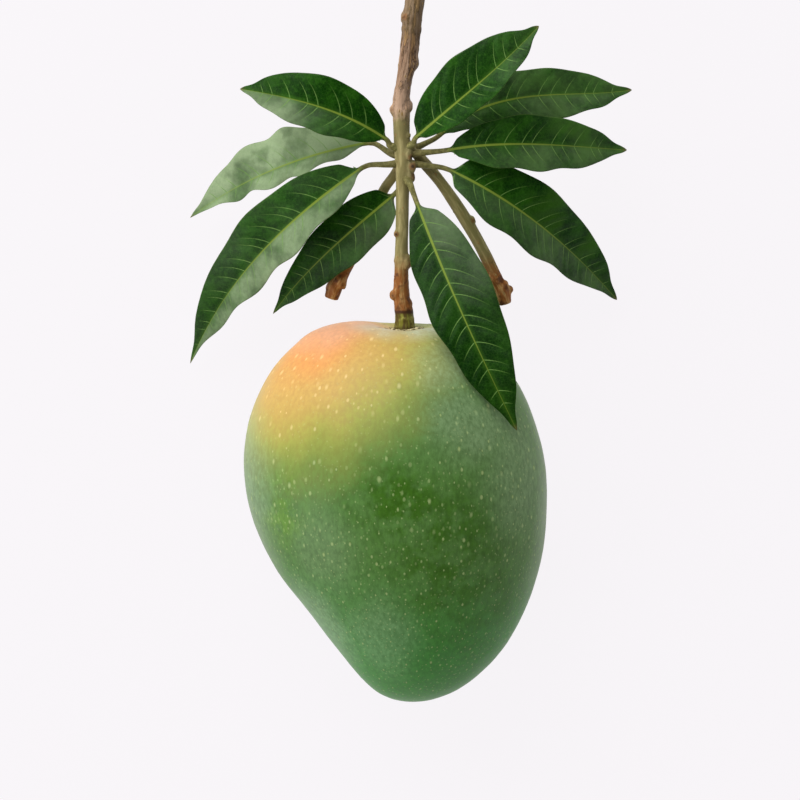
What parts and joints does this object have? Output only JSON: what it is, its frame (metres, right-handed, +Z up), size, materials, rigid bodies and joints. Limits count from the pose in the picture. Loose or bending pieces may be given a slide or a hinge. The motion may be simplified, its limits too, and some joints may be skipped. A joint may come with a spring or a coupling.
{
  "type": "mango",
  "caption": "Round-ovate mango lying on one cheek, with its woody stalk and the leafy twig it was picked with.",
  "frame": {"origin": "middle of the small flat spot on the under cheek, where the fruit rests", "axes": "+Y towards the stem end and along the twig, +Z up, away from the surface it rests on, +X to the right seen from above with the stem end at the top"},
  "size_m": [0.1515, 0.2383, 0.0865],
  "materials": {
    "skin": "smooth waxy fruit skin, half matt, with fine pale dots",
    "bark": "thin dull bark",
    "leaf": "tough glossy leaf"
  },
  "bodies": {
    "root": {"mango": "skin", "twig": "bark", "leaf_left_1": "leaf", "leaf_left_2": "leaf", "leaf_left_3": "leaf", "leaf_left_4": "leaf", "leaf_right_1": "leaf", "leaf_right_2": "leaf", "leaf_right_3": "leaf", "leaf_right_4": "leaf", "leaf_front": "leaf"}
  },
  "joints": []
}
